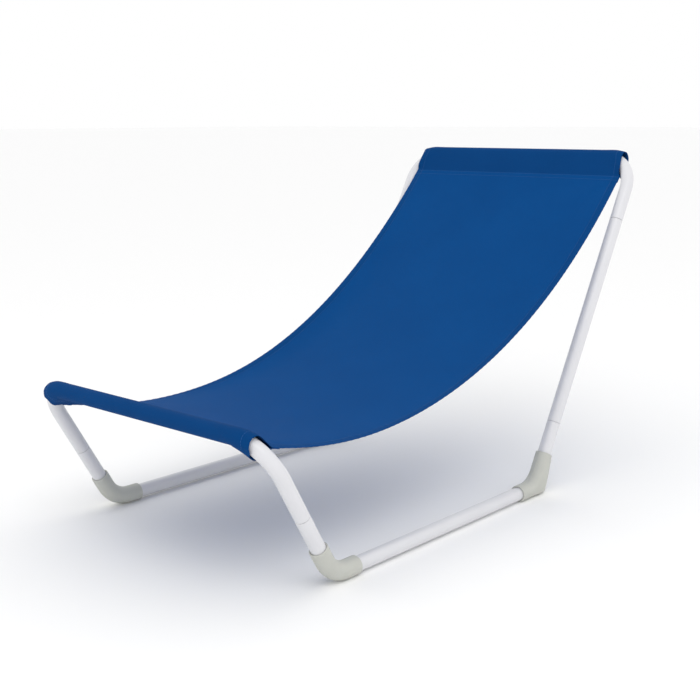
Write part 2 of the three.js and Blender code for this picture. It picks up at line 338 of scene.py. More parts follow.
foot_leg = (FOOT_BAR - FRONT_CROSSING).length - FRONT_JOINT
head_leg = (HEAD_BAR - REAR_CROSSING).length - REAR_JOINT
tubes["foot_bow"] = bow_tube("foot_bow_tube", foot_bow, foot_leg)
tubes["head_bow"] = bow_tube("head_bow_tube", head_bow, head_leg)
print("bow legs %.1f and %.1f mm" % (foot_leg / MM, head_leg / MM))

# %% [markdown]
# ## Moulded elbows
# Both kinds of elbow are a round moulding swept through the corner, with a socket at each end. The
# rear one has a heel: below and behind the corner its section grows from a circle to a deep
# rounded U that reaches the floor and a straight back. One sweep makes both: at each station the
# outer half of the ring is drawn out to a given depth. What would lie below the floor is flattened
# onto it, which makes the sole.

# %% Make the elbows
ELBOW_WALL = 2.1 * MM
ELBOW_RADIUS = TUBE_RADIUS + FIT_CLEARANCE + ELBOW_WALL
SOCKET_RADIUS = TUBE_RADIUS + FIT_CLEARANCE
ELBOW_BEND = 44 * MM
RAIL_SOCKET = 44 * MM
LEG_SOCKET = 47 * MM
POST_SOCKET = 54 * MM
HEEL_REACH = 20.5 * MM
HEEL_RISE = 3 * MM
HEEL_SQUARENESS = 3.2
ELBOW_RIM = 0.9 * MM
ELBOW_STEPS = 40
ELBOW_SIDES = 64
HEEL_GROWTH = 0.5
HEEL_FADE = 6 * MM
LEAST_LEAN = 0.05
SOCKET_CHAMFER = 0.5 * MM
PARTING_RIDGE = 0.22 * MM
PARTING_WIDTH = math.radians(1.6)


class ElbowLine:
    """Centreline of an elbow: along the rail, round the corner and up the leg or post."""

    def __init__(self, corner, rail, up, socket):
        self.corner, self.rail, self.up = corner, rail, up
        self.turn = math.acos(-rail.dot(up))
        self.inward = (up - rail * up.dot(rail)).normalized()
        self.tangent = ELBOW_BEND * math.tan(self.turn / 2)
        self.side = rail.cross(up).normalized()
        self.first = RAIL_SOCKET - self.tangent
        self.arc = ELBOW_BEND * self.turn
        self.length = self.first + self.arc + socket - self.tangent

    def at(self, run):
        angle = min(max((run - self.first) / ELBOW_BEND, 0), self.turn)
        start = self.corner + self.rail * self.tangent
        along = -self.rail * math.cos(angle) + self.inward * math.sin(angle)
        outward = -self.inward * math.cos(angle) - self.rail * math.sin(angle)
        place = start + (self.inward + outward) * ELBOW_BEND
        if run < self.first:
            place = start + self.rail * (self.first - run)
        elif run > self.first + self.arc:
            place = place + along * (run - self.first - self.arc)
        return place, outward


def heel_depth(line, place, outward, socket):
    """How far the sole or the straight back lies from the centreline."""
    away = -line.rail
    heel = line.corner + away * HEEL_REACH
    heel.z = HEEL_RISE
    rim_out = line.at(line.length)[1]
    top = line.corner + line.up * socket + rim_out * ELBOW_RADIUS
    depth = ELBOW_RADIUS
    reaches = []
    if outward.z < -LEAST_LEAN:
        reaches.append(place.z / -outward.z)
    back = top - heel
    normal = back.cross(line.side).normalized()
    if normal.dot(away) < 0:
        normal = -normal
    lean = outward.dot(normal)
    if lean > LEAST_LEAN:
        reaches.append((top - place).dot(normal) / lean)
    if reaches:
        depth = max(depth, min(reaches))
    return depth


def elbow_angles():
    even = [2 * math.pi * k / ELBOW_SIDES for k in range(ELBOW_SIDES)]
    extra = [middle + PARTING_WIDTH * k for middle in (0, math.pi) for k in (-1, -0.4, 0.4, 1)]
    near = [a for a in even if min(abs(a - m) for m in (0, math.pi, 2 * math.pi)) > PARTING_WIDTH]
    return sorted(a % (2 * math.pi) for a in near + extra + [0, math.pi])


def elbow_ring(line, run, radius, heel, socket, ridge=0.0):
    place, outward = line.at(run)
    depth = heel_depth(line, place, outward, socket) if heel else radius
    depth = max(radius, depth - (ELBOW_RADIUS - radius)) if heel else radius
    growth = min(max((depth / radius - 1) / HEEL_GROWTH, 0), 1)
    if run >= line.length - HEEL_FADE:
        growth = growth * (line.length - run) / HEEL_FADE
    power = 2 / (2 + (HEEL_SQUARENESS - 2) * growth)
    ring = []
    for angle in elbow_angles():
        cosine, sine = math.cos(angle), math.sin(angle)
        off = min(abs(angle - m) for m in (0, math.pi, 2 * math.pi)) / PARTING_WIDTH
        lift = ridge * max(0, 1 - max(off - 0.4, 0) / 0.6)
        if cosine > 0:
            out = (depth + lift) * cosine**power
            across = radius * math.copysign(abs(sine) ** power, sine)
        else:
            out = (radius + lift) * cosine
            across = radius * sine
        point = place + outward * out + line.side * across
        point.z = max(point.z, 0)
        ring.append(point)
    return ring


def socket_floor(line, direction, outward):
    """Ring at the closed end of a socket, where the tube's end stops."""
    place = line.corner + direction * (ELBOW_STOP - STOP_GAP)
    return [place + outward * (SOCKET_RADIUS * math.cos(a))
            + line.side * (SOCKET_RADIUS * math.sin(a)) for a in elbow_angles()]


def elbow(name, corner, rail, up, socket, heel):
    line = ElbowLine(corner, rail, up, socket)
    rim_in = [(ELBOW_RIM * (1 - math.cos(a)), ELBOW_RADIUS - ELBOW_RIM * (1 - math.sin(a)))
              for a in [math.radians(b) for b in (0, 25, 50, 70, 90)]]
    runs = np.linspace(2 * ELBOW_RIM, line.length - 2 * ELBOW_RIM, ELBOW_STEPS + 1)
    body = rim_in + [(float(r), ELBOW_RADIUS) for r in runs]
    body += [(line.length - s, r) for s, r in rim_in[::-1]]
    rings = [socket_floor(line, line.rail, line.at(0)[1]),
             elbow_ring(line, SOCKET_CHAMFER, SOCKET_RADIUS, False, socket),
             elbow_ring(line, 0, SOCKET_RADIUS + SOCKET_CHAMFER, False, socket)]
    for run, radius in body:
        full = 1 if radius > ELBOW_RADIUS - 0.01 * MM else 0
        rings.append(elbow_ring(line, run, radius, heel, socket, PARTING_RIDGE * full))
    far = line.length
    rings += [elbow_ring(line, far, SOCKET_RADIUS + SOCKET_CHAMFER, False, socket),
              elbow_ring(line, far - SOCKET_CHAMFER, SOCKET_RADIUS, False, socket),
              socket_floor(line, line.up, line.at(far)[1])]
    return skin(name, rings, capped=True)


elbows = {}
for label, offset in SIDES.items():
    forward = Vector((0, 1, 0))
    elbows["front_elbow_" + label] = elbow(
        "front_moulding_" + label, FRONT_CROSSING + offset, forward, LEG_UP, LEG_SOCKET, False)
    elbows["rear_elbow_" + label] = elbow(
        "rear_moulding_" + label, REAR_CROSSING + offset, -forward, POST_UP, POST_SOCKET, True)
print("elbows:", {n: len(o.data.polygons) for n, o in elbows.items()})

# %% [markdown]
# ## How the sling hangs
# The sling is one cloth. Each of its lengthwise threads hangs between the two bars like a chain.
# In the bends the tube dips, so the cloth's edges hang from lower places than its middle. A thread
# is worked out as a chain curve with a given lowest height, and the panel is all threads side by
# side. Each thread also knows where its loop round the bar is closed: at one distance from the
# straight bar's line, so the seams run straight across the cloth.

# %% Work out the threads of the sling
HALF_WIDTH = 205 * MM
SHORT_HANG = HALF_BAR + math.radians(35) * BEND_RADIUS
LONG_HANG = HALF_BAR + math.radians(66) * BEND_RADIUS
FOOT_HANG = (SHORT_HANG, LONG_HANG)
HEAD_HANG = (SHORT_HANG, SHORT_HANG)
FOOT_EDGE = (197 * MM, 208 * MM)
HEAD_EDGE = (205.5 * MM, 205.5 * MM)
WAIST_HALF_WIDTH = 191 * MM
WAIST_SHIFT = 1.5 * MM
LOW_EDGE = 157.8 * MM
CROWN = 4 * MM
TILT = 5 * MM
CHAIN_POINTS = 400
HALVINGS = 60
FOOT_FLARE_END = 0.5
HEAD_FLARE_START = 0.3
SEAM_REACH = 38 * MM


def across_bar(share, left_right):
    """Distance along a bar for a share across the cloth, from -1 at the right edge to 1."""
    left, right = left_right
    return (left - right) / 2 + share * (left + right) / 2


def chain(start, end, lowest):
    """Heights of a chain from start to end, both (y, z), with a given lowest height."""
    def reach(scale, rise):
        return scale * math.acosh(1 + rise / scale)

    low, high = 1 * MM, 1e3
    for _ in range(HALVINGS):
        scale = (low * high) ** 0.5
        if reach(scale, start[1] - lowest) + reach(scale, end[1] - lowest) < end[0] - start[0]:
            low = scale
        else:
            high = scale
    bottom = start[0] + reach(high, start[1] - lowest)
    y = np.linspace(start[0], end[0], CHAIN_POINTS)
    return y, lowest + high * (np.cosh((y - bottom) / high) - 1)


def smooth_step(low, high, value):
    part = np.clip((value - low) / (high - low), 0, 1)
    return part * part * (3 - 2 * part)


class Thread:
    """One lengthwise thread, as points from bar to bar, and the places of its two seams."""

    def __init__(self, share):
        foot_x = across_bar(share, FOOT_EDGE)
        head_x = across_bar(share, HEAD_EDGE)
        lowest = LOW_EDGE + TILT * share + CROWN * (1 - share**2)
        foot = foot_bow.at(across_bar(share, FOOT_HANG))[0]
        head = head_bow.at(across_bar(share, HEAD_HANG))[0]
        y, z = chain((foot.y, foot.z), (head.y, head.z), lowest)
        part = np.linspace(0, 1, CHAIN_POINTS)
        waist = share * WAIST_HALF_WIDTH + WAIST_SHIFT
        near_foot = np.clip(1 - part / FOOT_FLARE_END, 0, 1) ** 2
        near_head = smooth_step(HEAD_FLARE_START, 1, part)
        x = waist + near_foot * (foot_x - waist) + near_head * (head_x - waist)
        self.points = np.stack([x, y, z], 1)
        steps = np.linalg.norm(np.diff(self.points, axis=0), axis=1)
        self.lengths = np.concatenate([[0], np.cumsum(steps)])
        self.length = float(self.lengths[-1])
        from_foot = np.hypot(y - FOOT_BAR.y, z - FOOT_BAR.z)
        from_head = np.hypot(y - HEAD_BAR.y, z - HEAD_BAR.z)
        near, far = slice(CHAIN_POINTS // 2), slice(None, CHAIN_POINTS // 2, -1)
        self.seams = {
            "foot": float(np.interp(SEAM_REACH, from_foot[near], self.lengths[near])),
            "head": float(np.interp(SEAM_REACH, from_head[far], self.lengths[far])),
        }

    def at(self, length):
        return Vector([float(np.interp(length, self.lengths, self.points[:, k])) for k in range(3)])

    def along(self, length):
        step = 2 * MM
        ahead = self.at(min(length + step, self.length))
        return (ahead - self.at(max(length - step, 0))).normalized()


middle_thread = Thread(0)
print("middle thread %.0f mm, left edge %.0f mm, right edge %.0f mm" % (
    middle_thread.length / MM, Thread(1).length / MM, Thread(-1).length / MM))

# %% [markdown]
# ## Loops, hems and thickness
# A seam closes each loop, and the cloth's end runs on a little under the panel. The cloth stays
# almost straight past the beginning of a bend, while the tube dips away inside the loop, so an
# open mouth shows above the tube. A loop is drawn as a string pulled tight round three things: a
# circle at the bar's own height, a circle at the inner side of the dipping tube, and the seam.
# Along both sides the cloth is folded under and stitched, so that strip is thicker and puckers a
# little at the stitches. The surface is built twice, above and below the threads, and joined round
# its border, so the cloth is a real thin body.

# %% Describe the loops and the panel
CLOTH = 0.7 * MM
EDGE_ROUNDING = 1 * MM
HEM_WIDTH = 13 * MM
HEM_EXTRA = 0.4 * MM
ALLOWANCE = 13 * MM
LAYER_OFFSET = 0.6 * MM
SLEEVE_MIDDLE = TUBE_RADIUS + 0.9 * MM
# each loop's bow, its edges at the upper and at the lower circle (left and right), the share of the
# tube's dip that the upper circle follows, and the way along the threads from the bar to the seam
LOOPS = {
    "foot": (foot_bow, (202 * MM, 203 * MM), (197 * MM, 198 * MM), 0.5, 1),
    "head": (head_bow, (201 * MM, 201 * MM), (204 * MM, 204 * MM), 0.3, -1),
}
MOUTH_OPENING = 1.3 * MM
MOUTH_RUN = 26 * MM
STRING_STEPS = 240
LOOP_STEPS = 44
ALLOWANCE_ROWS = 4
PUCKER = 0.16 * MM
PUCKER_LENGTH = 11 * MM
PUCKER_DRIFT = 31 * MM
PUCKER_REACH = 2.2 * HEM_WIDTH
HEM_INSET = 1.6 * MM
STITCH_DIP = 0.12 * MM
STITCH_DIP_WIDTH = 1.5 * MM
ROW_STEP = 2.5 * MM


def loop_circles(top_x, low_x, top_dip):
    """Drops of the two circles below the straight bar's line, in a loop at a place across."""
    top = max(abs(top_x) - HALF_BAR, 0)
    low = max(abs(low_x) - HALF_BAR, 0)
    inside = BEND_RADIUS - TUBE_RADIUS
    dip = BEND_RADIUS - math.sqrt(BEND_RADIUS**2 - top**2)
    return top_dip * dip, inside - math.sqrt(inside**2 - low**2)


def loop_points(thread, share, end):
    """Cloth's end, from the end of its allowance round the bar and back to the seam."""
    bow, top_edge, low_edge, top_dip, sign = LOOPS[end]
    top_x = across_bar(share, top_edge)
    low_x = across_bar(share, low_edge)
    seam_place = thread.seams[end]

    def panel(reach, side):
        place = thread.at(seam_place + sign * reach)
        up = X.cross(thread.along(seam_place + sign * reach)).normalized()
        return place + up * (side * LAYER_OFFSET)

    drop_top, drop_low = loop_circles(top_x, low_x, top_dip)
    top = bow.bar - bow.up * drop_top + X * top_x
    low = bow.bar - bow.up * drop_low + X * low_x
    seam = panel(0, 0)
    facing = math.atan2(seam.z - bow.bar.z, seam.y - bow.bar.y)
    loose = float(smooth_step(0, MOUTH_RUN, abs(top_x) - HALF_BAR))
    radius = SLEEVE_MIDDLE + MOUTH_OPENING * loose
    string = [panel(0, -1)]
    for k in range(STRING_STEPS + 1):
        angle = facing - sign * 2 * math.pi * k / STRING_STEPS
        way = Vector((0, math.cos(angle), math.sin(angle)))
        places = [top + way * radius, low + way * radius, seam]
        reached = [place.dot(way) for place in places]
        if reached[2] < max(reached):
            string.append(places[reached.index(max(reached))])
    string.append(panel(0, 1))
    points = np.array([tuple(place) for place in string])
    lengths = np.concatenate([[0], np.cumsum(np.linalg.norm(np.diff(points, axis=0), axis=1))])
    even = np.linspace(0, lengths[-1], LOOP_STEPS + 1)
    loop = np.stack([np.interp(even, lengths, points[:, k]) for k in range(3)], 1)
    allowance = [tuple(panel(ALLOWANCE * k / ALLOWANCE_ROWS, -1))
                 for k in range(ALLOWANCE_ROWS, 0, -1)]
    return allowance + [tuple(place) for place in loop]


def panel_points(thread, start, end):
    """Points of the open panel between two shares of the length between the seams."""
    span = thread.seams["head"] - thread.seams["foot"]
    middle_span = middle_thread.seams["head"] - middle_thread.seams["foot"]
    rows = round((end - start) * middle_span / ROW_STEP)
    points = []
    for i in range(rows + 1):
        place = thread.seams["foot"] + span * (start + (end - start) * i / rows)
        up = X.cross(thread.along(place)).normalized()
        points.append(tuple(thread.at(place) + up * LAYER_OFFSET))
    return points


def strip_shares():
    """Shares across the cloth, close together at the hems."""
    edge = [1, 0.9985, 0.995, 0.985, 0.97]
    fold = 1 - HEM_WIDTH / HALF_WIDTH
    edge += [fold + 0.014, fold + 0.008, fold + 0.004, fold, fold - 0.004, fold - 0.01]
    inner = list(np.linspace(fold - 0.025, -fold + 0.025, 62))
    return [-s for s in edge] + inner[::-1] + edge[::-1]


SHARES = strip_shares()
THREADS = [Thread(s) for s in SHARES]
print("threads:", len(THREADS))

# %% [markdown]
# The whole cloth is laid out as one grid first: across by share, along by rows. Its faces point
# the same way everywhere, so the top of the panel is also the outside of both loops.

# %% Lay out the whole cloth
FOOT_JOIN = 0.42
HEAD_JOIN = 0.80
SOFT_FOLDS = 0.8 * MM
FOLD_FADE = 95 * MM
FOLD_START = 60 * MM
FOLD_RATE = 9.5
CORNER_OFFSET = 5 * MM
SEAM_FADE = 25 * MM
HEM_EDGE = 1.2 * MM
LAYER_EDGE = 2 * MM
HEM_DEPTH = 0.6


def cloth_rows(thread, share):
    foot = loop_points(thread, share, "foot")
    head = loop_points(thread, share, "head")[::-1]
    panel = []
    for start, end in ((0, FOOT_JOIN), (FOOT_JOIN, HEAD_JOIN), (HEAD_JOIN, 1)):
        panel += panel_points(thread, start, end)[1:]
    return foot + panel + head[1:]


grid = np.array([cloth_rows(*pair) for pair in zip(THREADS, SHARES)])
centre_column = len(THREADS) // 2
row_steps = np.linalg.norm(np.diff(grid[centre_column], axis=0), axis=1)
row_length = np.concatenate([[0], np.cumsum(row_steps)])
LOOP_ROWS = LOOP_STEPS + 1 + ALLOWANCE_ROWS
join_rows = [LOOP_ROWS - 1 + len(panel_points(middle_thread, 0, FOOT_JOIN)) - 1]
join_rows.append(join_rows[0] + len(panel_points(middle_thread, FOOT_JOIN, HEAD_JOIN)) - 1)
FLAT_LENGTH = float(row_length[-1])
print("cloth %.0f by %.0f mm, grid %s, joins at rows %s" % (
    2 * HALF_WIDTH / MM, FLAT_LENGTH / MM, grid.shape[:2], join_rows))

# %% [markdown]
# Small soft folds run from the four corners, where the bends pull on the cloth. They fade out
# within a hand's width, so the middle of the panel stays smooth.

# %% Shape the faces of the cloth
def grid_normals(points):
    across = np.gradient(points, axis=0)
    along = np.gradient(points, axis=1)
    normal = np.cross(across, along)
    return normal / np.linalg.norm(normal, axis=2, keepdims=True)


shares = np.array(SHARES)
width_place = np.repeat(shares[:, None] * HALF_WIDTH, grid.shape[1], 1)
length_place = np.repeat(row_length[None, :], grid.shape[0], 0)
seam_foot = row_length[LOOP_ROWS - 1]
seam_head = row_length[-LOOP_ROWS]
to_edge = HALF_WIDTH - np.abs(width_place)
on_panel = (smooth_step(seam_foot, seam_foot + SEAM_FADE, length_place)
            * smooth_step(seam_head, seam_head - SEAM_FADE, length_place))
folds = np.zeros_like(width_place)
for side in (1, -1):
    for seam, turn in ((seam_foot, 1), (seam_head, -1)):
        inward = np.abs(side * HALF_WIDTH - width_place)
        lengthwise = (length_place - seam) * turn + CORNER_OFFSET
        far = np.hypot(inward, lengthwise)
        wave = np.sin(FOLD_RATE * np.arctan2(inward, lengthwise) + 0.6 * side + 0.9 * turn)
        folds += wave * np.exp(-far / FOLD_FADE) * smooth_step(0, FOLD_START, far)
hem = smooth_step(HEM_WIDTH, HEM_WIDTH - HEM_EDGE, to_edge)
stitch_line = np.exp(-((to_edge - HEM_WIDTH + HEM_INSET) / STITCH_DIP_WIDTH) ** 2)
drift = 2.1 * np.sin(length_place / PUCKER_DRIFT)
puckers = np.sin(2 * math.pi * length_place / PUCKER_LENGTH + drift)
lift = folds * SOFT_FOLDS * on_panel + puckers * PUCKER * smooth_step(PUCKER_REACH, 0, to_edge)
rounding = np.sqrt(1 - np.clip(1 - to_edge / EDGE_ROUNDING, 0, 1) ** 2)
normals = grid_normals(grid)
top_height = CLOTH / 2 * rounding - STITCH_DIP * stitch_line + lift
under_height = -(CLOTH / 2 + HEM_EXTRA * hem) * rounding + lift
top_face = grid + normals * top_height[:, :, None]
under_face = grid + normals * under_height[:, :, None]
# Where the cloth is double, at the loops and the hems, this mask darkens its colour as painted
# shade.
layers = np.maximum(smooth_step(seam_foot + LAYER_EDGE, seam_foot, length_place),
                    smooth_step(seam_head - LAYER_EDGE, seam_head, length_place))
layers = np.maximum(layers, HEM_DEPTH * hem)
print("faces shaped, %d rows in each loop" % LOOP_ROWS)

# %% [markdown]
# ## Three lengths of cloth
# The bows and the posts can be lifted, so the cloth has to stretch between bodies that move
# apart. A blend works between two bodies, so the grid is cut along two cross lines into three
# lengths that share their border points: seen together they are one cloth. Each length carries
# its own map in metres, across and along, for the weave.

# %% Make the three lengths of the sling
def cloth_piece(name, first_row, last_row):
    rows = last_row - first_row + 1
    columns = grid.shape[0]
    top = top_face[:, first_row:last_row + 1].reshape(-1, 3)
    under = under_face[:, first_row:last_row + 1].reshape(-1, 3)
    count = len(top)
    faces = []
    for i in range(columns - 1):
        for j in range(rows - 1):
            a = i * rows + j
            quad = (a, a + rows, a + rows + 1, a + 1)
            faces.append(quad)
            faces.append(tuple(k + count for k in quad[::-1]))
    border = [i * rows for i in range(columns)]
    border += [(columns - 1) * rows + j for j in range(1, rows)]
    border += [i * rows + rows - 1 for i in range(columns - 2, -1, -1)]
    border += list(range(rows - 2, 0, -1))
    for a, b in zip(border, border[1:] + border[:1]):
        faces.append((b, a, a + count, b + count))
    piece = new_object(name, np.concatenate([top, under]), faces, sharp=math.radians(75))
    mesh = piece.data
    place = np.stack([width_place[:, first_row:last_row + 1],
                      length_place[:, first_row:last_row + 1]], 2).reshape(-1, 2)
    place = np.concatenate([place, place])
    corner = np.zeros(len(mesh.loops), np.int32)
    mesh.loops.foreach_get("vertex_index", corner)
    weave_map = mesh.uv_layers.new(name="weave")
    weave_map.data.foreach_set("uv", place[corner].astype(np.float32).ravel())
    # The layers mask goes with the points; the cloth's finish uses it to paint shade where the
    # cloth is double.
    layer_shade = mesh.attributes.new("layers", "FLOAT", "POINT")
    values = layers[:, first_row:last_row + 1].ravel()
    layer_shade.data.foreach_set("value", np.concatenate([values, values]).astype(np.float32))
    return piece


cloth_cuts = {
    "sling_front": (0, join_rows[0]),
    "sling_middle": (join_rows[0], join_rows[1]),
    "sling_back": (join_rows[1], grid.shape[1] - 1),
}
cloth = {name: cloth_piece(name, *rows) for name, rows in cloth_cuts.items()}
print("sling:", {n: len(o.data.polygons) for n, o in cloth.items()})

# %% [markdown]
# ## Node helpers
# Stitches and finishes are both trees of nodes, and both are written as sums: a wire holds a
# socket, and arithmetic on wires adds Math nodes. All other nodes come from one method that takes
# the node's type, its settings and its inputs.

# %% Define wires and trees
class Wire:
    """What travels from one node to others."""

    def __init__(self, tree, socket):
        self.tree, self.socket = tree, socket

    def math(self, operation, first, second=None):
        inputs = {0: first} if second is None else {0: first, 1: second}
        return self.tree.wire("ShaderNodeMath", {"operation": operation}, inputs)

    def __add__(self, other):
        return self.math("ADD", self, other)

    def __sub__(self, other):
        return self.math("SUBTRACT", self, other)

    def __rsub__(self, other):
        return self.math("SUBTRACT", other, self)

    def __mul__(self, other):
        return self.math("MULTIPLY", self, other)

    __radd__ = __add__
    __rmul__ = __mul__

    def sine(self):
        return self.math("SINE", self)

    def size(self):
        return self.math("ABSOLUTE", self)

    def above(self, limit):
        return self.math("GREATER_THAN", self, limit)

    def clamp(self, low, high):
        settings = {"interpolation_type": "SMOOTHSTEP"}
        inputs = {"Value": self, "From Min": low, "From Max": high}
        return self.tree.wire("ShaderNodeMapRange", settings, inputs)


class Tree:
    """A node tree whose nodes are added one by one."""

    def __init__(self, made):
        self.nodes, self.links = made.nodes, made.links

    def node(self, kind, settings=None, inputs=None):
        node = self.nodes.new(kind)
        for key, value in (settings or {}).items():
            setattr(node, key, value)
        for key, value in (inputs or {}).items():
            if isinstance(value, Wire):
                self.links.new(value.socket, node.inputs[key])
            else:
                node.inputs[key].default_value = value
        return node

    def wire(self, kind, settings=None, inputs=None, output=0):
        return Wire(self, self.node(kind, settings, inputs).outputs[output])


print("node helpers ready")

# %% [markdown]
# ## Stitches
# A row of stitches is the same short bead of thread over and over along a line, which is what
# Geometry Nodes are for. The rows are drawn as plain lines on the cloth's own faces; the tree
# places a bead at every step, turned along the line. Two rows close each loop, and one row holds
# each side hem, on the upper face and on the lower one.

# %% Build the stitch tree
STITCH_PITCH = 3.6 * MM
STITCH_LENGTH = 2.9 * MM
THREAD_RADIUS = 0.26 * MM
BEAD_SIDES, BEAD_RINGS = 6, 5


def stitch_tree():
    group = bpy.data.node_groups.new("stitch_rows", "GeometryNodeTree")
    face = group.interface
    face.new_socket("Rows", in_out="INPUT", socket_type="NodeSocketGeometry")
    for title in ("Pitch", "Length", "Thread radius"):
        face.new_socket(title, in_out="INPUT", socket_type="NodeSocketFloat")
    face.new_socket("Thread", in_out="INPUT", socket_type="NodeSocketMaterial")
    face.new_socket("Stitches", in_out="OUTPUT", socket_type="NodeSocketGeometry")
    tree = Tree(group)
    given = {s.name: Wire(tree, s) for s in tree.node("NodeGroupInput").outputs if s.name}
    curve = tree.wire("GeometryNodeMeshToCurve", {}, {"Mesh": given["Rows"]})
    spots = tree.node("GeometryNodeCurveToPoints", {"mode": "LENGTH"},
                      {"Curve": curve, "Length": given["Pitch"]})
    points, tangent = (Wire(tree, spots.outputs[name]) for name in ("Points", "Tangent"))
    ball = tree.wire("GeometryNodeMeshUVSphere", {},
                     {"Segments": BEAD_SIDES, "Rings": BEAD_RINGS, "Radius": 1})
    radius = given["Thread radius"]
    size = tree.wire("ShaderNodeCombineXYZ", {},
                     {"X": given["Length"] * 0.5, "Y": radius, "Z": radius})
    bead = tree.wire("GeometryNodeTransform", {}, {"Geometry": ball, "Scale": size})
    turn = tree.wire("FunctionNodeAlignRotationToVector", {"axis": "X"}, {"Vector": tangent})
    copies = tree.wire("GeometryNodeInstanceOnPoints", {},
                       {"Points": points, "Instance": bead, "Rotation": turn})
    real = tree.wire("GeometryNodeRealizeInstances", {}, {"Geometry": copies})
    smooth = tree.wire("GeometryNodeSetShadeSmooth", {}, {"Geometry": real})
    done = tree.wire("GeometryNodeSetMaterial", {},
                     {"Geometry": smooth, "Material": given["Thread"]})
    tree.node("NodeGroupOutput", {}, {"Stitches": done})
    return group


stitches = stitch_tree()
print("stitch tree nodes:", len(stitches.nodes))

# %% [markdown]
# ## Colours and finishes
# A finish is the tree of one material. Its methods are the few nodes that every finish here
# needs: places on the piece, noise, mixes of two colours, bumps and the surface at the end.

# %% Define a finish
class Finish(Tree):
    """The tree of a material."""

    def __init__(self, name):
        self.material = bpy.data.materials.new(name)
        self.material.use_nodes = True
        super().__init__(self.material.node_tree)
        self.nodes.clear()

    def place(self):
        return self.wire("ShaderNodeTexCoord", output="Object")

    def noise(self, vector, scale, detail=2.0, rough=0.5):
        inputs = {"Vector": vector, "Scale": scale, "Detail": detail, "Roughness": rough}
        return self.wire("ShaderNodeTexNoise", {}, inputs)

    def stretched(self, vector, scale):
        return self.wire("ShaderNodeMapping", {}, {"Vector": vector, "Scale": scale})

    def attribute(self, name):
        return self.wire("ShaderNodeAttribute", {"attribute_name": name}, output="Fac")

    def mix(self, factor, first, second):
        """Mix of two colours, each a wire or four numbers."""
        inputs = {"Factor": factor, 6: first, 7: second}
        return self.wire("ShaderNodeMix", {"data_type": "RGBA"}, inputs, output=2)

    def bump(self, height, distance, strength):
        inputs = {"Height": height, "Distance": distance, "Strength": strength}
        return self.wire("ShaderNodeBump", {}, inputs)

    def surface(self, inputs):
        shader = self.wire("ShaderNodeBsdfPrincipled", {}, inputs)
        self.node("ShaderNodeOutputMaterial", {}, {"Surface": shader})
        return self.material


def paint(red, green, blue):
    """Linear colour of an sRGB colour given from 0 to 255."""
    linear = []
    for value in (red / 255, green / 255, blue / 255):
        linear.append(value / 12.92 if value <= 0.04045 else ((value + 0.055) / 1.055) ** 2.4)
    return (*linear, 1.0)


print("a middle grey is", [round(v, 3) for v in paint(128, 128, 128)])

# %% [markdown]
# ## White powder coat
# Powder coat melts into a satin skin with a faint orange-peel ripple. The swaged spigots and the
# bores stay bare zinc-plated steel, as the powder is kept off a sliding fit. A stored mark on the
# points of each straight tube says where it is bare.

# %% Finish of the tubes
def coated_tube():
    finish = Finish("coated_tube")
    place = finish.place()
    bare = finish.attribute("bare")
    ripple = finish.noise(place, 520, 2.0)
    cloud = finish.noise(place, 21, 3.0)
    speck = finish.noise(place, 1900, 1.0)
    drawn = finish.noise(finish.stretched(place, (260, 30, 30)), 9, 3.0)
    coat = finish.mix(cloud, paint(213, 213, 217), paint(221, 221, 224))
    steel = finish.mix(drawn, paint(150, 151, 152), paint(186, 187, 186))
    rough = 0.27 + cloud * 0.1 + speck * 0.05 + bare * drawn * 0.12
    skin_bump = finish.bump(ripple + speck * 0.15, 0.05 * MM, 0.55)
    return finish.surface({
        "Base Color": finish.mix(bare, coat, steel),
        "Roughness": rough,
        "Metallic": bare * 0.9,
        "Normal": skin_bump,
        "Coat Weight": 0.12,
        "Coat Roughness": 0.2,
    })


def mark_bare(piece, axis_up, base, shoulder):
    """Marks a swaged tube's spigot and bore as bare steel, from a height along its axis."""
    mesh = piece.data
    values = []
    for vertex in mesh.vertices:
        offset = vertex.co - base
        height = offset.dot(axis_up)
        radius = (offset - axis_up * height).length
        bare = height > shoulder - 0.05 * MM or radius < BORE + 0.1 * MM
        values.append(1.0 if bare else 0.0)
    mark = mesh.attributes.new("bare", "FLOAT", "POINT")
    mark.data.foreach_set("value", values)


coat = coated_tube()
FAR = 10.0
for label, offset in SIDES.items():
    for node, base, up, shoulder in (
        ("side_rail_", FRONT_CROSSING, Vector((0, 1, 0)), FAR),
        ("front_leg_", FRONT_CROSSING, LEG_UP, FRONT_JOINT - STOP_GAP),
        ("rear_stub_", REAR_CROSSING, POST_UP, STUB_JOINT - STOP_GAP),
        ("rear_post_", REAR_CROSSING, POST_UP, REAR_JOINT - STOP_GAP),
    ):
        mark_bare(tubes[node + label], up, base + offset, shoulder)
for piece in tubes.values():
    piece.data.materials.append(coat)
print("coated:", len(tubes), "tubes")

# %% [markdown]
# ## Grey moulded plastic
# The mouldings come out of a spark-worn tool, so they are matt with a very fine grain. The soles
# have picked up fine scuffs from the ground.

# %% Finish of the elbows
def moulded_grey():
    finish = Finish("moulded_grey")
    place = finish.place()
    height = finish.wire("ShaderNodeSeparateXYZ", {}, {0: place}, output="Z")
    sole = 1 - height.clamp(0.2 * MM, 7 * MM)
    grain = finish.noise(place, 1500, 2.0, 0.6)
    cloud = finish.noise(place, 42, 3.0)
    scratch = finish.noise(finish.stretched(place, (900, 60, 900)), 3, 2.0)
    scuff = sole * scratch.clamp(0.52, 0.66)
    body = finish.mix(cloud, paint(184, 185, 178), paint(195, 196, 189))
    colour = finish.mix(scuff * 0.35, body, paint(150, 148, 138))
    return finish.surface({
        "Base Color": colour,
        "Roughness": 0.52 + grain * 0.12 + scuff * 0.15,
        "Normal": finish.bump(grain + scuff * 0.8, 0.045 * MM, 0.7),
        "IOR": 1.48,
    })


plastic = moulded_grey()
for piece in elbows.values():
    piece.data.materials.append(plastic)
print("moulded:", sorted(elbows))
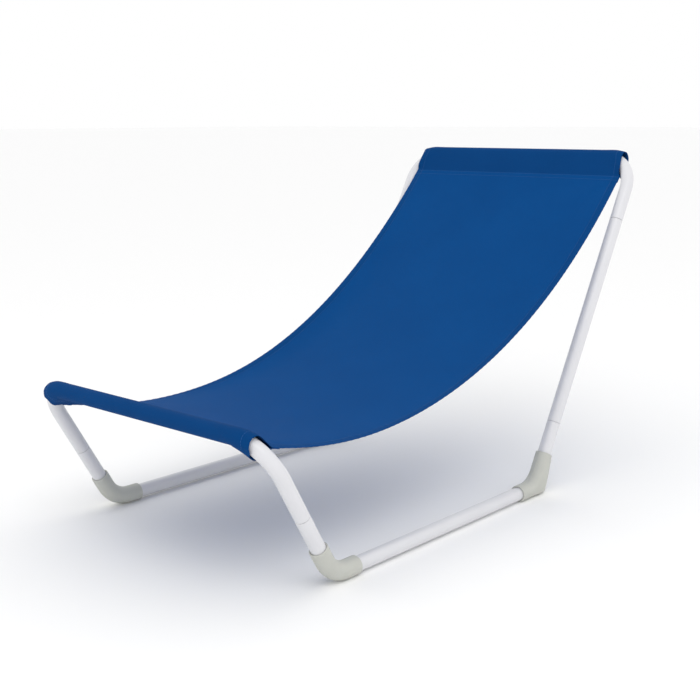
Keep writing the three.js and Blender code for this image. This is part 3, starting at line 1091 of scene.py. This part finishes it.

# %% [markdown]
# ## Blue woven cloth
# The sling is a plain weave of coarse polyester yarn. The pattern follows the cloth's own map in
# metres: lengthwise and crosswise yarns take turns on top, each a small rounded ridge, and the gaps
# between them are painted darker as shade. The two sets of yarn differ a little in colour, and long
# slubs run both ways. Where the cloth is double, at the loops and the hems, its colour is painted
# darker as shade for the light that two layers let through less.

# %% Finish of the cloth and the thread
YARN_PITCH = 0.62 * MM


def woven_blue():
    finish = Finish("woven_blue")
    weave = finish.wire("ShaderNodeUVMap", {"uv_map": "weave"})
    across = finish.wire("ShaderNodeSeparateXYZ", {}, {0: weave}, output="X")
    along = finish.wire("ShaderNodeSeparateXYZ", {}, {0: weave}, output="Y")
    warp = (across * (math.pi / YARN_PITCH)).sine()
    weft = (along * (math.pi / YARN_PITCH)).sine()
    warp_up = (warp * weft).above(0)
    warp_ridge = warp.size() * (0.55 + weft.size() * 0.45)
    weft_ridge = weft.size() * (0.55 + warp.size() * 0.45)
    height = warp_up * warp_ridge + (1 - warp_up) * weft_ridge
    long_slub = finish.noise(finish.stretched(weave, (1500, 26, 1)), 1, 2.0)
    cross_slub = finish.noise(finish.stretched(weave, (26, 1500, 1)), 1, 2.0)
    cloud = finish.noise(weave, 9, 3.0)
    shade = warp_up * 0.14 + (long_slub + cross_slub) * 0.3 + cloud * 0.4
    single = finish.mix(shade, paint(2, 66, 128), paint(8, 86, 156))
    # Colour where the cloth is double: painted shade for the light that two layers let through
    # less.
    double_shade = finish.mix(shade, paint(2, 60, 116), paint(10, 77, 142))
    layers = finish.attribute("layers")
    # Painted shade in the gaps between the yarns: the colour is mixed towards a dark blue where the
    # weave is low.
    gap_shade = (1 - height) * 0.5
    colour = finish.mix(gap_shade, finish.mix(layers, single, double_shade), paint(3, 30, 70))
    return finish.surface({
        "Base Color": colour,
        "Roughness": 0.74 + long_slub * 0.16,
        "Normal": finish.bump(height + long_slub * 0.4 + cross_slub * 0.4, 0.12 * MM, 0.8),
        "Sheen Weight": 0.015,
        "Sheen Roughness": 0.4,
        "Specular IOR Level": 0.05,
    })


def sewing_thread():
    finish = Finish("sewing_thread")
    place = finish.place()
    twist = finish.noise(finish.stretched(place, (2600, 900, 900)), 1, 1.0)
    return finish.surface({
        "Base Color": finish.mix(twist, paint(14, 66, 128), paint(36, 98, 168)),
        "Roughness": 0.45 + twist * 0.2,
        "Normal": finish.bump(twist, 0.05 * MM, 0.6),
    })


woven = woven_blue()
thread_finish = sewing_thread()
for piece in cloth.values():
    piece.data.materials.append(woven)
print("cloth finish nodes:", len(woven.node_tree.nodes))

# %% [markdown]
# ## Sewing the sling
# The lines for the stitches are taken from the cloth's faces: the hem lines are columns of the
# grid, and the seam lines cross it at a fixed distance from each seam, on the panel and on the
# allowance under it. Each length of cloth gets its own rows.

# %% Sew the rows
SEAM_ROWS = (2.2 * MM, 9.2 * MM)
STITCH_LIFT = 0.06 * MM
HEM_SHARE = 1 - (HEM_WIDTH - HEM_INSET) / HALF_WIDTH
HEM_COLUMNS = [int(np.argmin(np.abs(shares - side * HEM_SHARE))) for side in (1, -1)]
BORDER_COLUMNS = 3


def cross_line(length):
    """Line across the top face at a length along the cloth, without the last of each edge."""
    face = top_face + normals * STITCH_LIFT
    line = []
    for i in range(BORDER_COLUMNS, len(shares) - BORDER_COLUMNS):
        line.append([float(np.interp(length, row_length, face[i, :, k])) for k in range(3)])
    return line


def stitch_lines(first_row, last_row):
    lines = []
    for column in HEM_COLUMNS:
        upper = top_face[column] + normals[column] * STITCH_LIFT
        under = under_face[column] - normals[column] * STITCH_LIFT
        lines.append(upper[first_row:last_row + 1].tolist())
        low = max(first_row, LOOP_ROWS + 2)
        high = min(last_row, grid.shape[1] - LOOP_ROWS - 2)
        lines.append(under[low:high + 1].tolist())
    for row in SEAM_ROWS:
        for place in (seam_foot + row, ALLOWANCE - row, seam_head - row,
                      FLAT_LENGTH - ALLOWANCE + row):
            if row_length[first_row] < place < row_length[last_row]:
                lines.append(cross_line(place))
    return lines


def sew(name, lines):
    points, edges = [], []
    for line in lines:
        start = len(points)
        points += line
        edges += [(start + k, start + k + 1) for k in range(len(line) - 1)]
    mesh = bpy.data.meshes.new(name + "_rows")
    mesh.from_pydata(points, edges, [])
    rows = add_object(name + "_rows", mesh)
    modifier = rows.modifiers.new("stitches", "NODES")
    modifier.node_group = stitches
    values = {"Pitch": STITCH_PITCH, "Length": STITCH_LENGTH, "Thread radius": THREAD_RADIUS,
              "Thread": thread_finish}
    for item in stitches.interface.items_tree:
        if item.in_out == "INPUT" and item.name in values:
            modifier[item.identifier] = values[item.name]
    bpy.context.view_layer.update()
    result = rows.evaluated_get(bpy.context.evaluated_depsgraph_get())
    sewn = add_object(name, bpy.data.meshes.new_from_object(result))
    bpy.data.objects.remove(rows)
    return sewn


seams = {name: sew(name + "_stitches", stitch_lines(*rows)) for name, rows in cloth_cuts.items()}
bead_faces = BEAD_SIDES * BEAD_RINGS
print("stitches:", {n: len(o.data.polygons) // bead_faces for n, o in seams.items()})

# %% [markdown]
# ## What moves with what
# Rigid pieces ride on their imported body, and the imported node that each one replaces is hidden.
# The three lengths of cloth and their stitches keep the places they were built in, and the imported
# cloth nodes that they replace are hidden.

# %% Tie the pieces to the bodies
body_of_node = {n: b for b, ns in frame["record"]["behaviour"]["bodies"].items() for n in ns}
for node, piece in {**tubes, **elbows}.items():
    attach(piece, body_of_node[node])
    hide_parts(node)
    "moulded_grey" if node in elbows else "coated_tube"

# each length's two bodies, and where the stretch starts and ends as shares of the middle thread
blends = {
    "sling_front": ("base", "foot_bow", 0.36, 0.07),
    "sling_middle": ("base", "rear_post_left", 0.50, 0.72),
    "sling_back": ("rear_post_left", "head_bow", 0.84, 0.955),
}
stands_for = {"sling_front": ("sling", "foot_sleeve"), "sling_back": ("head_sleeve",)}
for name, (body_a, body_b, start, end) in blends.items():
    start_point = middle_thread.at(middle_thread.length * start)
    end_point = middle_thread.at(middle_thread.length * end)
    for piece in (cloth[name], seams[name]):
        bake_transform(piece)
    if name in stands_for:
        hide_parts(*stands_for[name])

# %% [markdown]
# ## Stage
# A plain pale floor and a bright, even sky of light, with one large soft lamp above and to the
# right to give the tubes and the cloth their form.

# %% Build the stage
FLOOR_SIZE = 120
FLOOR_GAP = 0.2 * MM
FLOOR_WHITE = (0.97, 0.97, 0.97, 1)
KEY_PLACE = (1.6, -1.2, 2.4)
KEY_TARGET = (0, 0, 0.2)
KEY_SIZE = (1.6, 1.6)
KEY_POWER = 14


def build_floor():
    half = FLOOR_SIZE / 2
    corners = [(-half, -half), (half, -half), (half, half), (-half, half)]
    mesh = bpy.data.meshes.new("floor")
    mesh.from_pydata([(x, y, -FLOOR_GAP) for x, y in corners], [], [(0, 1, 2, 3)])
    floor = add_object("floor", mesh)
    finish = Finish("pale_floor")
    floor.data.materials.append(finish.surface({
        "Base Color": FLOOR_WHITE, "Roughness": 0.9, "Specular IOR Level": 0.1}))


def soft_lamp(name, place, target, size, power):
    lamp = bpy.data.lights.new(name, "AREA")
    lamp.shape = "RECTANGLE"
    lamp.size, lamp.size_y = size
    lamp.energy = power
    holder = add_object(name, lamp)
    holder.location = place
    aim = Vector(target) - Vector(place)
    holder.rotation_euler = aim.to_track_quat("-Z", "Y").to_euler()


build_floor()
world = bpy.data.worlds.new("sky")
world.use_nodes = True
sky = world.node_tree.nodes["Background"]
sky.inputs["Color"].default_value = (1, 1, 1, 1)
sky.inputs["Strength"].default_value = 1.0
bpy.context.scene.world = world
soft_lamp("key", KEY_PLACE, KEY_TARGET, KEY_SIZE, KEY_POWER)
bpy.context.scene.view_settings.view_transform = "Standard"
print("stage ready")
